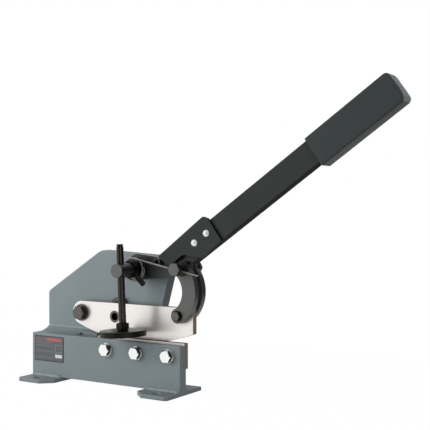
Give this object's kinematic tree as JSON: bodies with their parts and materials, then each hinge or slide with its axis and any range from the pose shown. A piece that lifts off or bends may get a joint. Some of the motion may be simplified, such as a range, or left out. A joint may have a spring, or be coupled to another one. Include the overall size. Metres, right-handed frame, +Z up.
{
  "type": "bench lever shear",
  "caption": "Bench-mounted hand shear: a welded plate frame, two long blades, a compound lever with curved links and a return spring, and a screw hold-down.",
  "frame": {"origin": "Centre between the two bench bolt holes, on the bench plane", "axes": "+X along the blades to the handle end, -Y to the front of the shear, +Z up from the bench"},
  "size_m": [0.663, 0.145, 0.4752],
  "materials": {
    "frame_paint": "satin blue-grey paint",
    "label": "blank dark printed plate",
    "blade_steel": "ground blade steel",
    "zinc": "bright zinc plate",
    "black_oxide": "black oxide",
    "dark_steel": "oiled dark steel",
    "link_paint": "satin dark grey paint",
    "lever_paint": "satin charcoal paint",
    "grip_plastic": "soft dark grey plastic",
    "bronze": "bearing bronze",
    "spring_steel": "bright spring wire"
  },
  "bodies": {
    "frame": {"front_wall": "frame_paint", "bridge_block": "frame_paint", "back_plate": "frame_paint", "left_foot": "frame_paint", "right_foot": "frame_paint", "data_plate": "label", "lower_blade": "blade_steel", "lower_blade_bolts": "zinc", "lower_blade_spring_washers": "zinc", "lower_blade_washers": "zinc", "bar_bush": "dark_steel", "blade_pivot_bolt": "black_oxide", "blade_front_washer": "black_oxide", "blade_pivot_spacer": "dark_steel", "blade_rear_washer": "zinc", "blade_pivot_nut": "zinc", "pivot_hub": "black_oxide", "hub_spacer": "dark_steel", "hub_washer": "zinc", "hub_nut": "zinc", "lock_screw": "black_oxide"},
    "blade": {"upper_blade": "blade_steel", "blade_bush": "bronze", "bar_ring": "dark_steel"},
    "link": {"link_front_plate": "link_paint", "link_rear_plate": "link_paint", "link_lower_bolt": "black_oxide", "link_lower_washers": "black_oxide", "link_lower_nut": "black_oxide"},
    "lever": {"lever_arm": "lever_paint", "arm_bush": "bronze", "lever_boss": "lever_paint", "lever_bracket": "lever_paint", "lever_bar": "lever_paint", "lever_grip": "grip_plastic", "lever_bolts": "zinc", "lever_nuts": "zinc", "link_upper_bolt": "black_oxide", "link_upper_washer": "black_oxide", "link_upper_nut": "black_oxide", "return_spring": "spring_steel"},
    "hold_bar": {"hold_down_bar": "black_oxide"},
    "pad": {"hold_down_pad": "black_oxide"},
    "spindle": {"hold_down_spindle": "black_oxide", "hold_down_nut": "black_oxide"}
  },
  "joints": [
    {"name": "lever_swing", "type": "hinge", "parent": "frame", "child": "lever", "pos_m": [0.058, 0.0461, 0.1935], "axis": [0, 1, 0], "range_deg": [-34, 10], "stiffness_Nm_per_rad": 4, "springref_deg": -57.3},
    {"name": "blade_swing", "type": "hinge", "parent": "frame", "child": "blade", "pos_m": [-0.0605, 0.0461, 0.116], "axis": [0, 1, 0], "range_deg": [-15, 4.5]},
    {"name": "link_swing", "type": "hinge", "parent": "blade", "child": "link", "pos_m": [0.1422, 0.0461, 0.1235], "axis": [0, 1, 0], "range_deg": [-3, 10]},
    {"name": "hold_down_swing", "type": "hinge", "parent": "frame", "child": "hold_bar", "pos_m": [0.058, 0.009, 0.1935], "axis": [0, 1, 0], "range_deg": [-10, 10]},
    {"name": "hold_down_feed", "type": "slide", "parent": "hold_bar", "child": "pad", "axis": [-0.0454, 0, 0.999], "range_m": [-0.005, 0.06]},
    {"name": "spindle_turn", "type": "hinge", "parent": "pad", "child": "spindle", "pos_m": [0.058, -0.004, 0.1935], "axis": [-0.0454, 0, 0.999], "range_deg": [-1032, 12400]}
  ],
  "couplings": [
    {"joint": "blade_swing", "follows": "lever_swing", "ratio": 0.43976},
    {"joint": "link_swing", "follows": "lever_swing", "ratio": -0.28353},
    {"joint": "spindle_turn", "follows": "hold_down_feed", "rad_per_m": 3590.4}
  ]
}
